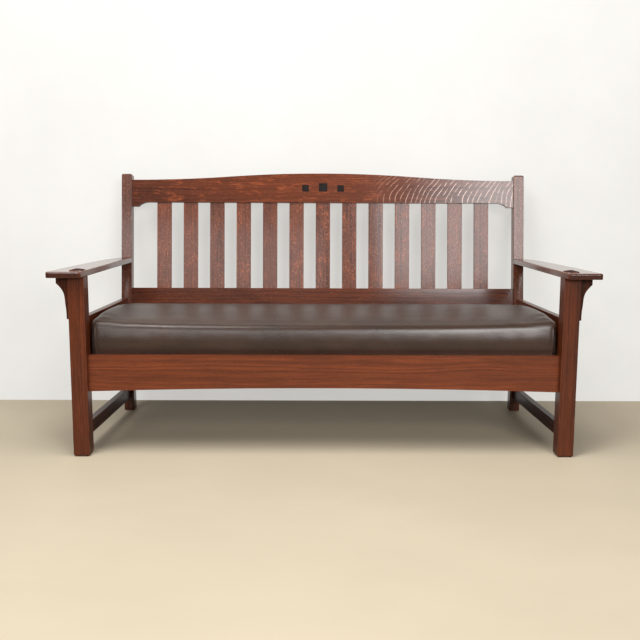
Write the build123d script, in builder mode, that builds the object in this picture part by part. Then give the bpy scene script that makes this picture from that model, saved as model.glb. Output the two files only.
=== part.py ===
from build123d import *
from math import atan, cos, pi, sin, tan
import os

# A two-arm oak settle with a raked slat back, flat arms and a drop-in leather seat.
# Millimetres. +Z up, the front faces -Y, the origin is on the floor under the middle.

# Stance of the four posts
front_span = 1581.0
side_toe_in = 28.5
bay_depth = 589.0
front_post_size = 50.8
back_post_size = 38.1
back_post_height = 902.0
knee_height = 411.0
rake_slope = 0.139
post_foot_chamfer = 6.0
post_top_ease = 4.0

# Boards and their joints
rail_thickness = 22.2
tenon_thickness = 11.0
tenon_shoulder = 12.0
joint_fit = 0.1
cut_overrun = 5.0

# Front and back seat rails
seat_rail_bottom = 207.0
seat_rail_height = 115.0
seat_rail_arch = 11.7
front_rail_recess = 19.9
front_rail_tenon = 20.0
back_rail_recess = 4.4
back_rail_tenon = 15.0

# Side rails and side stretchers, toed in with the posts
side_outset = 4.0
side_rail_rise = 114.0
side_front_tenon = 28.0
side_back_tenon = 25.0
stretcher_bottom = 50.4
stretcher_height = 42.4

# Back: crest rail, lower rail and slats, all in the raked plane
crest_bottom = 796.8
crest_end_height = 83.4
crest_rise = 26.2
crest_bend_share = 0.483
crest_tenon = 20.0
lobe_drop = 16.0
lobe_flat = 25.5
lobe_length = 62.0
lobe_step = 2.5
lower_rail_top = 475.0
lower_rail_height = 84.0
slat_count = 13
slat_width = 54.6
slat_end_gap = 94.2
slat_thickness = 9.5
slat_tongue = 12.0

# Square inlays in the crest rail
inlay_side_size = 25.0
inlay_center_size = 32.0
inlay_pitch = 66.5
inlay_rise_share = 0.376
inlay_depth = 3.2

# Arms
arm_top = 588.0
arm_thickness = 19.0
arm_overhang = 32.0
arm_front_lap = 58.0
arm_belly_lap = 37.5
arm_hip_lap = 38.5
arm_tail_lap = 23.0
arm_belly_share = 0.435
arm_hip_share = 0.825
arm_tail_share = 0.913
arm_corner_round = 9.0
arm_top_round = 5.5
arm_bottom_round = 2.5
arm_stub_width = 20.0
arm_stub_thickness = 9.0
arm_stub_length = 15.0
through_tenon_size = 40.0
through_tenon_stand = 2.0
through_tenon_point = 4.0
through_tenon_flat = 8.0

# Corbels under the arms
corbel_thickness = 22.2
corbel_height = 132.0
corbel_reach = 39.5
corbel_lip = 20.0
corbel_toe = 9.8
corbel_waist_drop = 30.0
corbel_waist_reach = 17.2
corbel_calf_drop = 62.0
corbel_calf_reach = 12.8

# Ledge that carries the seat
cleat_top = 268.0
cleat_height = 32.0
cleat_thickness = 28.0
cleat_end_gap = 34.0
cleat_screw_count = 6
screw_radius = 2.2
screw_head_radius = 4.4
screw_head_height = 3.0
screw_length = 42.0
screw_drop = 14.0
bearer_width = 45.0
bearer_tenon = 10.0

# Drop-in seat: wooden frame, webbing and leather cushion
seat_rest_gap = 0.2
seat_front_gap = 3.0
seat_back_gap = 4.5
seat_frame_inset = 5.5
seat_frame_width = 45.0
seat_frame_thickness = 22.0
seat_frame_tenon = 20.0
webbing_thickness = 1.6
webbing_strap = 50.0
webbing_long_straps = 5
webbing_cross_straps = 15
cushion_gap = 0.3
cushion_post_gap = 5.0
cushion_rail_gap = 6.0
cushion_front_height = 416.0
cushion_back_height = 414.0
cushion_end_swell = 12.0
cushion_swell_power = 4
cushion_crown = 15.0
cushion_front_round = 14.0
cushion_back_round = 20.0
cushion_end_round = 16.0
cushion_corner_draw_share = 0.45
cushion_round_steps = 5
cushion_middle_shares = (0.85, 0.7, 0.5, 0.25)

# Angle of the rake and the stance worked out from the sizes above
rake = atan(rake_slope)
rake_top_run = (back_post_height - knee_height) / cos(rake)
rear_reach = bay_depth + rake_top_run * sin(rake) + back_post_size * cos(rake)
overall_depth = arm_overhang + rear_reach - post_top_ease * sin(rake)
front_y = arm_overhang - overall_depth / 2
back_y = front_y + bay_depth
front_half = front_span / 2
back_half = front_half - side_toe_in
front_post_x = front_half - front_post_size / 2
front_post_y = front_y + front_post_size / 2
back_post_x = back_half - back_post_size / 2
back_post_y = back_y + back_post_size / 2
front_inner = front_half - front_post_size
back_inner = back_half - back_post_size
arm_bottom = arm_top - arm_thickness
seat_rail_top = seat_rail_bottom + seat_rail_height
side_rail_top = seat_rail_top + side_rail_rise
sides = (("left", -1), ("right", 1))

# The raked plane lies on the upper front faces of the back posts and faces forward
raked_plane = Plane(
    origin=(0, back_y, knee_height), x_dir=(1, 0, 0), z_dir=(0, -cos(rake), sin(rake))
)
rail_plane = raked_plane.offset(-back_rail_recess)
rail_tenon_plane = rail_plane.offset((tenon_thickness - rail_thickness) / 2)
slat_plane = rail_plane.offset((slat_thickness - rail_thickness) / 2)


def run_at(height):
    """Distance up the raked plane, from the knee, of a point at this height."""
    return (height - knee_height) / cos(rake)


def rake_point(run, depth):
    """Side-view point at this run up the rake and this depth behind the front face."""
    return (
        back_y + run * sin(rake) + depth * cos(rake),
        knee_height + run * cos(rake) - depth * sin(rake),
    )


def rectangle_points(x0, x1, y0, y1):
    """Corners of a rectangle between two sides and two ends."""
    return [(x0, y0), (x1, y0), (x1, y1), (x0, y1)]


def grown(low, high, fit):
    """The same span with the fit added at both ends."""
    return low - fit, high + fit


def side_line(y):
    """X of the middle of the right side rail and stretcher at this depth."""
    share = (y - front_post_y) / (back_post_y - front_post_y)
    return front_post_x + side_outset + share * (back_post_x - front_post_x)


def side_strip(sign, y0, y1, width):
    """Plan of a board of this width along one toed-in side."""
    return [
        (sign * (side_line(y0) - width / 2), y0),
        (sign * (side_line(y0) + width / 2), y0),
        (sign * (side_line(y1) + width / 2), y1),
        (sign * (side_line(y1) - width / 2), y1),
    ]


def inner_edge(y):
    """X of the line that runs through the inner faces of the two right posts."""
    share = (y - front_post_y) / (back_post_y - front_post_y)
    return front_inner + share * (back_inner - front_inner)


def save(piece, name):
    """Label one finished piece and write it to its own file."""
    piece.part.label = name
    export_step(piece.part, "parts/" + name + ".step")


os.makedirs("parts", exist_ok=True)

# Side view of a back post: upright to the knee, then leaning back
back_post_profile = [
    (back_y, 0),
    (back_y, knee_height),
    rake_point(rake_top_run, 0),
    rake_point(rake_top_run, back_post_size),
    (back_y + back_post_size, knee_height - back_post_size * tan(rake / 2)),
    (back_y + back_post_size, 0),
]

# Heights of the tenons
seat_tenon_low = seat_rail_bottom + tenon_shoulder
seat_tenon_high = seat_rail_top - tenon_shoulder
side_tenon_high = side_rail_top - tenon_shoulder
stretcher_shoulder = tenon_shoulder / 2
stretcher_top = stretcher_bottom + stretcher_height
stretcher_tenon_low = stretcher_bottom + stretcher_shoulder
stretcher_tenon_high = stretcher_top - stretcher_shoulder
side_tenons = ((seat_tenon_low, side_tenon_high), (stretcher_tenon_low, stretcher_tenon_high))

# Stub tenon at the back end of each arm
stub_low = arm_bottom + (arm_thickness - arm_stub_thickness) / 2
stub_face = rake_point(run_at(stub_low), 0)[0]
stub_x0 = back_post_x - arm_stub_width / 2
stub_x1 = back_post_x + arm_stub_width / 2

# Plan places of the front and back seat rails
front_rail_face = front_y + front_rail_recess
front_rail_back = front_rail_face + rail_thickness
front_rail_mid = front_rail_face + rail_thickness / 2
back_rail_face = back_y + back_rail_recess
back_rail_mid = back_rail_face + rail_thickness / 2

# Runs of the back rails up the rake
crest_bottom_run = run_at(crest_bottom)
crest_lobe_run = run_at(crest_bottom - lobe_drop)
crest_end_run = run_at(crest_bottom + crest_end_height)
crest_peak_run = run_at(crest_bottom + crest_end_height + crest_rise)
crest_tenon_span = (crest_lobe_run + tenon_shoulder, crest_end_run - tenon_shoulder)
lower_rail_top_run = run_at(lower_rail_top)
lower_rail_bottom_run = run_at(lower_rail_top - lower_rail_height)
lower_tenon_span = (lower_rail_bottom_run + tenon_shoulder, lower_rail_top_run - tenon_shoulder)

# Front posts, each with a pointed tenon that passes through the arm
for side, sign in sides:
    post_plane = Plane(origin=(sign * front_post_x, front_post_y, 0))
    with BuildPart() as front_post:
        with BuildSketch(post_plane):
            Rectangle(front_post_size, front_post_size)
        extrude(amount=arm_bottom)
        chamfer(front_post.faces().sort_by(Axis.Z)[0].edges(), length=post_foot_chamfer)
        with BuildSketch(post_plane.offset(arm_bottom)):
            Rectangle(through_tenon_size, through_tenon_size)
        extrude(amount=arm_thickness + through_tenon_stand)
        tenon_top = post_plane.offset(arm_top + through_tenon_stand)
        with BuildSketch(tenon_top):
            Rectangle(through_tenon_size, through_tenon_size)
        with BuildSketch(tenon_top.offset(through_tenon_point)):
            Rectangle(through_tenon_flat, through_tenon_flat)
        loft()
        with BuildSketch(Plane.XY.offset(seat_tenon_low - joint_fit)):
            y0, y1 = grown(
                front_rail_mid - tenon_thickness / 2, front_rail_mid + tenon_thickness / 2, joint_fit
            )
            x0 = sign * front_inner
            x1 = sign * (front_inner + front_rail_tenon + joint_fit)
            Polygon(*rectangle_points(x0, x1, y0, y1), align=None)
        extrude(amount=seat_tenon_high - seat_tenon_low + 2 * joint_fit, mode=Mode.SUBTRACT)
        for low, high in side_tenons:
            with BuildSketch(Plane.XY.offset(low - joint_fit)):
                far = front_y + front_post_size
                near = far - side_front_tenon - joint_fit
                width = tenon_thickness + 2 * joint_fit
                Polygon(*side_strip(sign, near, far, width), align=None)
            extrude(amount=high - low + 2 * joint_fit, mode=Mode.SUBTRACT)
    save(front_post, "front_post_" + side)

# Back posts
for side, sign in sides:
    with BuildPart() as back_post:
        with BuildSketch(Plane.YZ.offset(sign * back_post_x - back_post_size / 2)):
            Polygon(*back_post_profile, align=None)
        extrude(amount=back_post_size)
        chamfer(back_post.faces().sort_by(Axis.Z)[0].edges(), length=post_foot_chamfer / 2)
        top_face = back_post.faces().sort_by(Axis.Z)[-1]
        chamfer(top_face.edges(), length=post_top_ease)
        with BuildSketch(Plane.XY.offset(seat_tenon_low - joint_fit)):
            y0, y1 = grown(
                back_rail_mid - tenon_thickness / 2, back_rail_mid + tenon_thickness / 2, joint_fit
            )
            x0 = sign * back_inner
            x1 = sign * (back_inner + back_rail_tenon + joint_fit)
            Polygon(*rectangle_points(x0, x1, y0, y1), align=None)
        extrude(amount=seat_tenon_high - seat_tenon_low + 2 * joint_fit, mode=Mode.SUBTRACT)
        for low, high in side_tenons:
            with BuildSketch(Plane.XY.offset(low - joint_fit)):
                near = back_y - cut_overrun
                far = back_y + side_back_tenon + joint_fit
                width = tenon_thickness + 2 * joint_fit
                Polygon(*side_strip(sign, near, far, width), align=None)
            extrude(amount=high - low + 2 * joint_fit, mode=Mode.SUBTRACT)
        back_mortises = ((crest_tenon_span, crest_tenon), (lower_tenon_span, back_rail_tenon))
        for span, length in back_mortises:
            with BuildSketch(rail_tenon_plane.offset(joint_fit)):
                v0, v1 = grown(span[0], span[1], joint_fit)
                x0 = sign * back_inner
                x1 = sign * (back_inner + length + joint_fit)
                Polygon(*rectangle_points(x0, x1, v0, v1), align=None)
            extrude(amount=-(tenon_thickness + 2 * joint_fit), mode=Mode.SUBTRACT)
        with BuildSketch(Plane.XY.offset(stub_low - joint_fit)):
            x0, x1 = grown(stub_x0, stub_x1, joint_fit)
            y0, y1 = stub_face - cut_overrun, stub_face + arm_stub_length + joint_fit
            Polygon(*rectangle_points(sign * x0, sign * x1, y0, y1), align=None)
        extrude(amount=arm_stub_thickness + 2 * joint_fit, mode=Mode.SUBTRACT)
    save(back_post, "back_post_" + side)

# Screws that hold the two cleats to the seat rails
screw_height = cleat_top - screw_drop
screw_pitch = 2 * (front_inner - cleat_end_gap) / cleat_screw_count
front_cleat_face = front_rail_back + cleat_thickness
back_cleat_face = back_rail_face - cleat_thickness
front_screw_plane = Plane.XZ.offset(-front_cleat_face)
back_screw_plane = Plane(origin=(0, back_cleat_face, 0), x_dir=(-1, 0, 0), z_dir=(0, 1, 0))
screw_places = [
    ((index - (cleat_screw_count - 1) / 2) * screw_pitch, screw_height)
    for index in range(cleat_screw_count)
]


def add_screws(plane, fit, mode):
    """A row of countersunk screws, or their holes when a fit is given."""
    low_end = (Align.CENTER, Align.CENTER, Align.MIN)
    with Locations(plane):
        with Locations(*screw_places):
            Cylinder(screw_radius + fit, screw_length + fit, align=low_end, mode=mode)
            Cone(
                screw_head_radius + fit,
                screw_radius + fit,
                screw_head_height,
                align=low_end,
                mode=mode,
            )


# Front seat rail, arched along its lower edge
with BuildPart() as front_seat_rail:
    with BuildSketch(Plane.XZ.offset(-front_rail_face)):
        with BuildLine():
            ThreePointArc(
                (-front_inner, seat_rail_bottom),
                (0, seat_rail_bottom + seat_rail_arch),
                (front_inner, seat_rail_bottom),
            )
            Polyline(
                (front_inner, seat_rail_bottom),
                (front_inner, seat_rail_top),
                (-front_inner, seat_rail_top),
                (-front_inner, seat_rail_bottom),
            )
        make_face()
    extrude(amount=-rail_thickness)
    with BuildSketch(Plane.XZ.offset(-(front_rail_mid - tenon_thickness / 2))):
        for side, sign in sides:
            x0 = sign * (front_inner - cut_overrun)
            x1 = sign * (front_inner + front_rail_tenon)
            Polygon(*rectangle_points(x0, x1, seat_tenon_low, seat_tenon_high), align=None)
    extrude(amount=-tenon_thickness)
    add_screws(front_screw_plane, joint_fit, Mode.SUBTRACT)
save(front_seat_rail, "front_seat_rail")

# Back seat rail, straight, between the back posts
with BuildPart() as back_seat_rail:
    with BuildSketch(Plane.XZ.offset(-back_rail_face)):
        Polygon(
            *rectangle_points(-back_inner, back_inner, seat_rail_bottom, seat_rail_top), align=None
        )
    extrude(amount=-rail_thickness)
    with BuildSketch(Plane.XZ.offset(-(back_rail_mid - tenon_thickness / 2))):
        tenon_reach = back_inner + back_rail_tenon
        Polygon(
            *rectangle_points(-tenon_reach, tenon_reach, seat_tenon_low, seat_tenon_high),
            align=None,
        )
    extrude(amount=-tenon_thickness)
    add_screws(back_screw_plane, joint_fit, Mode.SUBTRACT)
save(back_seat_rail, "back_seat_rail")

# Side rails and stretchers: toed-in boards with a tenon at each end
side_boards = (
    ("side_seat_rail", seat_rail_bottom, side_rail_top, seat_tenon_low, side_tenon_high),
    ("side_stretcher", stretcher_bottom, stretcher_top, stretcher_tenon_low, stretcher_tenon_high),
)
for board, low, high, tenon_low, tenon_high in side_boards:
    for side, sign in sides:
        front_shoulder = front_y + front_post_size
        board_end = back_y + back_post_size
        with BuildPart() as side_board:
            with BuildSketch(Plane.XY.offset(low)):
                Polygon(*side_strip(sign, front_shoulder, board_end, rail_thickness), align=None)
            extrude(amount=high - low)
            with BuildSketch(Plane.YZ):
                Polygon(*back_post_profile, align=None)
            extrude(amount=front_span, both=True, mode=Mode.SUBTRACT)
            with BuildSketch(Plane.XY.offset(tenon_low)):
                near = front_shoulder - side_front_tenon
                far = back_y + side_back_tenon
                Polygon(*side_strip(sign, near, far, tenon_thickness), align=None)
            extrude(amount=tenon_high - tenon_low)
        save(side_board, board + "_" + side)

# Crest rail: bell-shaped top edge, and a lobe at each end of the lower edge
crest_bend_x = back_inner * crest_bend_share
crest_bend_run = crest_end_run + (crest_peak_run - crest_end_run) * (1 - crest_bend_share)
crest_dip_x = (crest_bend_x + back_inner) / 2
crest_dip_run = crest_end_run + (crest_bend_run - crest_end_run) / 4
lobe_inner_x = back_inner - lobe_flat
lobe_start_x = back_inner - lobe_length
slat_pitch = (2 * (back_inner - slat_end_gap) - slat_width) / (slat_count - 1)
slat_places = [(index - (slat_count - 1) / 2) * slat_pitch for index in range(slat_count)]
inlays = (
    ("left", -inlay_pitch, inlay_side_size),
    ("center", 0, inlay_center_size),
    ("right", inlay_pitch, inlay_side_size),
)
inlay_run = crest_bottom_run + (crest_peak_run - crest_bottom_run) * inlay_rise_share


def cut_slat_slots(run_low, run_high):
    """Slots for the slat tongues between two runs, in the rail being built."""
    with BuildSketch(slat_plane.offset(joint_fit)) as slots:
        for x in slat_places:
            x0, x1 = grown(x - slat_width / 2, x + slat_width / 2, joint_fit)
            Polygon(*rectangle_points(x0, x1, run_low, run_high), align=None)
    extrude(slots.sketch, amount=-(slat_thickness + 2 * joint_fit), mode=Mode.SUBTRACT)


with BuildPart() as crest_rail:
    with BuildSketch(rail_plane):
        with BuildLine():
            ThreePointArc(
                (-crest_bend_x, crest_bend_run), (0, crest_peak_run), (crest_bend_x, crest_bend_run)
            )
            Line((-lobe_start_x, crest_bottom_run), (lobe_start_x, crest_bottom_run))
            for side, sign in sides:
                ThreePointArc(
                    (sign * crest_bend_x, crest_bend_run),
                    (sign * crest_dip_x, crest_dip_run),
                    (sign * back_inner, crest_end_run),
                )
                Polyline(
                    (sign * back_inner, crest_end_run),
                    (sign * back_inner, crest_lobe_run),
                    (sign * lobe_inner_x, crest_lobe_run),
                    (sign * lobe_inner_x, crest_lobe_run + lobe_step),
                )
                TangentArc(
                    (sign * lobe_start_x, crest_bottom_run),
                    (sign * lobe_inner_x, crest_lobe_run + lobe_step),
                    tangent=(sign, 0),
                )
        make_face()
    extrude(amount=-rail_thickness)
    with BuildSketch(rail_tenon_plane):
        for side, sign in sides:
            x0 = sign * (back_inner - cut_overrun)
            x1 = sign * (back_inner + crest_tenon)
            Polygon(*rectangle_points(x0, x1, *crest_tenon_span), align=None)
    extrude(amount=-tenon_thickness)
    cut_slat_slots(crest_bottom_run - cut_overrun, crest_bottom_run + slat_tongue + joint_fit)
    with BuildSketch(rail_plane) as pockets:
        for name, x, size in inlays:
            x0, x1 = grown(x - size / 2, x + size / 2, joint_fit)
            v0, v1 = grown(inlay_run, inlay_run + size, joint_fit)
            Polygon(*rectangle_points(x0, x1, v0, v1), align=None)
    extrude(pockets.sketch, amount=-inlay_depth, mode=Mode.SUBTRACT)
save(crest_rail, "crest_rail")

for name, x, size in inlays:
    with BuildPart() as inlay:
        with BuildSketch(rail_plane):
            x0, x1 = x - size / 2, x + size / 2
            Polygon(*rectangle_points(x0, x1, inlay_run, inlay_run + size), align=None)
        extrude(amount=-inlay_depth)
    save(inlay, "crest_inlay_" + name)

# Lower back rail
with BuildPart() as lower_back_rail:
    with BuildSketch(rail_plane):
        Polygon(
            *rectangle_points(-back_inner, back_inner, lower_rail_bottom_run, lower_rail_top_run),
            align=None,
        )
    extrude(amount=-rail_thickness)
    with BuildSketch(rail_tenon_plane):
        tenon_reach = back_inner + back_rail_tenon
        Polygon(*rectangle_points(-tenon_reach, tenon_reach, *lower_tenon_span), align=None)
    extrude(amount=-tenon_thickness)
    cut_slat_slots(lower_rail_top_run - slat_tongue - joint_fit, lower_rail_top_run + cut_overrun)
save(lower_back_rail, "lower_back_rail")

# Back slats, each let into both rails by its tongues
for index, x in enumerate(slat_places):
    with BuildPart() as back_slat:
        with BuildSketch(slat_plane):
            x0, x1 = x - slat_width / 2, x + slat_width / 2
            v0, v1 = lower_rail_top_run - slat_tongue, crest_bottom_run + slat_tongue
            Polygon(*rectangle_points(x0, x1, v0, v1), align=None)
        extrude(amount=-slat_thickness)
    save(back_slat, "back_slat_" + str(index + 1).zfill(2))

# Arms: straight inner edge, bowed outer edge that draws in to the back post
arm_front_y = front_y - arm_overhang
arm_join_y = rake_point(run_at(arm_top), 0)[0]
arm_length = arm_join_y - arm_front_y
arm_belly_y = arm_front_y + arm_length * arm_belly_share
arm_hip_y = arm_front_y + arm_length * arm_hip_share
arm_tail_y = arm_front_y + arm_length * arm_tail_share
for side, sign in sides:
    with BuildPart() as arm:
        with BuildSketch(Plane.XY.offset(arm_bottom)):
            with BuildLine():
                Polyline(
                    (sign * back_half, arm_join_y),
                    (sign * inner_edge(arm_join_y), arm_join_y),
                    (sign * inner_edge(arm_front_y), arm_front_y),
                    (sign * (front_half + arm_front_lap), arm_front_y),
                )
                ThreePointArc(
                    (sign * (front_half + arm_front_lap), arm_front_y),
                    (sign * (front_half + arm_belly_lap), arm_belly_y),
                    (sign * (back_half + arm_hip_lap), arm_hip_y),
                )
                ThreePointArc(
                    (sign * (back_half + arm_hip_lap), arm_hip_y),
                    (sign * (back_half + arm_tail_lap), arm_tail_y),
                    (sign * back_half, arm_join_y),
                )
            make_face()
        extrude(amount=arm_thickness)
        fillet(arm.edges().filter_by(Axis.Z).sort_by(Axis.Y)[:2], radius=arm_corner_round)
        fillet(arm.faces().sort_by(Axis.Z)[-1].edges().sort_by(Axis.Y)[:-1], radius=arm_top_round)
        fillet(arm.faces().sort_by(Axis.Z)[0].edges().sort_by(Axis.Y)[:-1], radius=arm_bottom_round)
        with BuildSketch(Plane.YZ):
            Polygon(*back_post_profile, align=None)
        extrude(amount=front_span, both=True, mode=Mode.SUBTRACT)
        with BuildSketch(Plane.XY.offset(stub_low)):
            y0, y1 = stub_face - cut_overrun, stub_face + arm_stub_length
            Polygon(*rectangle_points(sign * stub_x0, sign * stub_x1, y0, y1), align=None)
        extrude(amount=arm_stub_thickness)
        with BuildSketch(Plane(origin=(sign * front_post_x, front_post_y, arm_bottom))):
            mortise_size = through_tenon_size + 2 * joint_fit
            Rectangle(mortise_size, mortise_size)
        extrude(amount=arm_thickness, mode=Mode.SUBTRACT)
    save(arm, "arm_" + side)

# Corbels on the outer faces of the front posts, under the arms
for side, sign in sides:
    corbel_toe_point = (sign * (front_half + corbel_toe), arm_bottom - corbel_height)
    corbel_lip_point = (sign * (front_half + corbel_reach), arm_bottom - corbel_lip)
    with BuildPart() as corbel:
        with BuildSketch(Plane.XZ.offset(corbel_thickness / 2 - front_post_y)):
            with BuildLine():
                Polyline(
                    corbel_toe_point,
                    (sign * front_half, arm_bottom - corbel_height),
                    (sign * front_half, arm_bottom),
                    (sign * (front_half + corbel_reach), arm_bottom),
                    corbel_lip_point,
                )
                Spline(
                    corbel_lip_point,
                    (
                        sign * (front_half + corbel_waist_reach),
                        arm_bottom - corbel_lip - corbel_waist_drop,
                    ),
                    (
                        sign * (front_half + corbel_calf_reach),
                        arm_bottom - corbel_lip - corbel_calf_drop,
                    ),
                    corbel_toe_point,
                    tangents=[(-sign, -1), (0, -1)],
                )
            make_face()
        extrude(amount=-corbel_thickness)
    save(corbel, "corbel_" + side)

# Cleats on the inner faces of the seat rails, and the bearer between them
cleat_half = back_inner - cleat_end_gap
cleat_bottom = cleat_top - cleat_height
cleats = (
    ("front", front_screw_plane, front_rail_back, front_cleat_face, front_cleat_face - bearer_tenon),
    ("back", back_screw_plane, back_cleat_face, back_rail_face, back_cleat_face),
)
for name, screw_plane, y0, y1, socket_y in cleats:
    with BuildPart() as seat_cleat:
        with BuildSketch(Plane.XY.offset(cleat_bottom)):
            Polygon(*rectangle_points(-cleat_half, cleat_half, y0, y1), align=None)
        extrude(amount=cleat_height)
        with BuildSketch(Plane.XY.offset(cleat_bottom)):
            x0, x1 = grown(-bearer_width / 2, bearer_width / 2, joint_fit)
            v0, v1 = grown(socket_y, socket_y + bearer_tenon, joint_fit)
            Polygon(*rectangle_points(x0, x1, v0, v1), align=None)
        extrude(amount=cleat_height, mode=Mode.SUBTRACT)
        add_screws(screw_plane, joint_fit, Mode.SUBTRACT)
    save(seat_cleat, "seat_cleat_" + name)

with BuildPart() as seat_bearer:
    with BuildSketch(Plane.XY.offset(cleat_bottom)):
        y0, y1 = grown(front_cleat_face, back_cleat_face, bearer_tenon)
        Polygon(*rectangle_points(-bearer_width / 2, bearer_width / 2, y0, y1), align=None)
    extrude(amount=cleat_height)
save(seat_bearer, "seat_bearer")

with BuildPart() as cleat_screws:
    add_screws(front_screw_plane, 0, Mode.ADD)
    add_screws(back_screw_plane, 0, Mode.ADD)
save(cleat_screws, "cleat_screws")

# Drop-in seat frame, which rests on the cleats and the bearer
cushion_front_y = front_rail_back + seat_front_gap
lower_rail_foot_y = rake_point(lower_rail_bottom_run, back_rail_recess)[0]
cushion_back_y = min(back_y, lower_rail_foot_y) - seat_back_gap
cushion_depth = cushion_back_y - cushion_front_y
cushion_front_half = front_inner - cushion_post_gap
cushion_back_half = side_line(cushion_back_y) - rail_thickness / 2 - cushion_rail_gap
seat_half = cushion_back_half - seat_frame_inset
seat_y0 = cushion_front_y + seat_frame_inset
seat_y1 = cushion_back_y - seat_frame_inset
seat_bottom = cleat_top + seat_rest_gap
seat_top = seat_bottom + seat_frame_thickness
seat_tongue_low = seat_bottom + seat_frame_thickness / 3
seat_tongue_height = seat_frame_thickness / 3
seat_cross_places = (
    ("left", -seat_half, -seat_half + seat_frame_width),
    ("center", -seat_frame_width / 2, seat_frame_width / 2),
    ("right", seat_half - seat_frame_width, seat_half),
)
seat_long_places = (
    ("front", seat_y0, seat_y0 + seat_frame_width),
    ("back", seat_y1 - seat_frame_width, seat_y1),
)
seat_tongue_y0 = seat_y0 + seat_frame_width - seat_frame_tenon
seat_tongue_y1 = seat_y1 - seat_frame_width + seat_frame_tenon

for name, y0, y1 in seat_long_places:
    with BuildPart() as seat_frame_long:
        with BuildSketch(Plane.XY.offset(seat_bottom)):
            Polygon(*rectangle_points(-seat_half, seat_half, y0, y1), align=None)
        extrude(amount=seat_frame_thickness)
        with BuildSketch(Plane.XY.offset(seat_tongue_low - joint_fit)) as grooves:
            for cross, x0, x1 in seat_cross_places:
                x0, x1 = grown(x0 + seat_frame_inset, x1 - seat_frame_inset, joint_fit)
                v0, v1 = grown(seat_tongue_y0, seat_tongue_y1, joint_fit)
                Polygon(*rectangle_points(x0, x1, v0, v1), align=None)
        extrude(grooves.sketch, amount=seat_tongue_height + 2 * joint_fit, mode=Mode.SUBTRACT)
    save(seat_frame_long, "seat_frame_" + name)

for name, x0, x1 in seat_cross_places:
    with BuildPart() as seat_frame_cross:
        with BuildSketch(Plane.XY.offset(seat_bottom)):
            y0, y1 = seat_y0 + seat_frame_width, seat_y1 - seat_frame_width
            Polygon(*rectangle_points(x0, x1, y0, y1), align=None)
        extrude(amount=seat_frame_thickness)
        with BuildSketch(Plane.XY.offset(seat_tongue_low)):
            x0, x1 = x0 + seat_frame_inset, x1 - seat_frame_inset
            Polygon(*rectangle_points(x0, x1, seat_tongue_y0, seat_tongue_y1), align=None)
        extrude(amount=seat_tongue_height)
    save(seat_frame_cross, "seat_frame_" + name)

# Woven webbing, as one flat net stretched over the seat frame
webbing_length = 2 * seat_half
webbing_depth = seat_y1 - seat_y0
webbing_cross_pitch = (webbing_length - webbing_strap) / (webbing_cross_straps - 1)
webbing_long_pitch = (webbing_depth - webbing_strap) / (webbing_long_straps - 1)
with BuildPart() as seat_webbing:
    with BuildSketch(Plane(origin=(0, (seat_y0 + seat_y1) / 2, seat_top))):
        Rectangle(webbing_length, webbing_depth)
        with GridLocations(
            webbing_cross_pitch,
            webbing_long_pitch,
            webbing_cross_straps - 1,
            webbing_long_straps - 1,
        ):
            Rectangle(
                webbing_cross_pitch - webbing_strap,
                webbing_long_pitch - webbing_strap,
                mode=Mode.SUBTRACT,
            )
    extrude(amount=webbing_thickness)
save(seat_webbing, "seat_webbing")

# Leather cushion: crowned top that swells towards the ends, rounded shoulders, drawn-in corners
cushion_bottom = seat_top + webbing_thickness + cushion_gap
arc_mid_share = 1 - sin(pi / 4)
end_round_share = cushion_end_round / cushion_front_half
end_stations = []
for step in range(cushion_round_steps + 1):
    turn = step / cushion_round_steps * pi / 2
    end_stations.append((1 - end_round_share * (1 - cos(turn)), 1 - sin(turn)))
half_stations = end_stations + [(share, 0) for share in cushion_middle_shares]
cushion_stations = (
    [(-place, draw) for place, draw in half_stations]
    + [(0, 0)]
    + [(place, draw) for place, draw in reversed(half_stations)]
)


def cushion_section(place, draw):
    """One cross-section of the cushion, at a share of its half length."""
    lean = place * (cushion_back_half - cushion_front_half)
    plane = Plane(
        origin=(place * cushion_front_half, cushion_front_y, 0),
        x_dir=(lean, cushion_depth, 0),
        z_dir=(cushion_depth, -lean, 0),
    )
    inset = draw * cushion_end_round
    near = inset * cushion_corner_draw_share
    far = cushion_depth - near
    swell = cushion_end_swell * abs(place) ** cushion_swell_power
    front_edge = cushion_front_height + swell - inset
    back_edge = cushion_back_height - inset
    crown = (front_edge + back_edge) / 2 + cushion_crown
    front_low = front_edge - cushion_front_round
    back_low = back_edge - cushion_back_round
    with BuildSketch(plane) as section:
        with BuildLine():
            Polyline((near, front_low), (near, cushion_bottom), (far, cushion_bottom), (far, back_low))
            ThreePointArc(
                (near, front_low),
                (
                    near + cushion_front_round * arc_mid_share,
                    front_edge - cushion_front_round * arc_mid_share,
                ),
                (near + cushion_front_round, front_edge),
            )
            ThreePointArc(
                (near + cushion_front_round, front_edge),
                ((near + far) / 2, crown),
                (far - cushion_back_round, back_edge),
            )
            ThreePointArc(
                (far - cushion_back_round, back_edge),
                (
                    far - cushion_back_round * arc_mid_share,
                    back_edge - cushion_back_round * arc_mid_share,
                ),
                (far, back_low),
            )
        make_face()
    return section.sketch


with BuildPart() as seat_cushion:
    loft([cushion_section(place, draw) for place, draw in cushion_stations], ruled=True)
save(seat_cushion, "seat_cushion")
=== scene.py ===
"""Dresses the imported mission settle: eased oak boards, ebonised inlays, woven webbing and a leather seat.

Every length is in metres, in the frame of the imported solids.
"""

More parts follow.
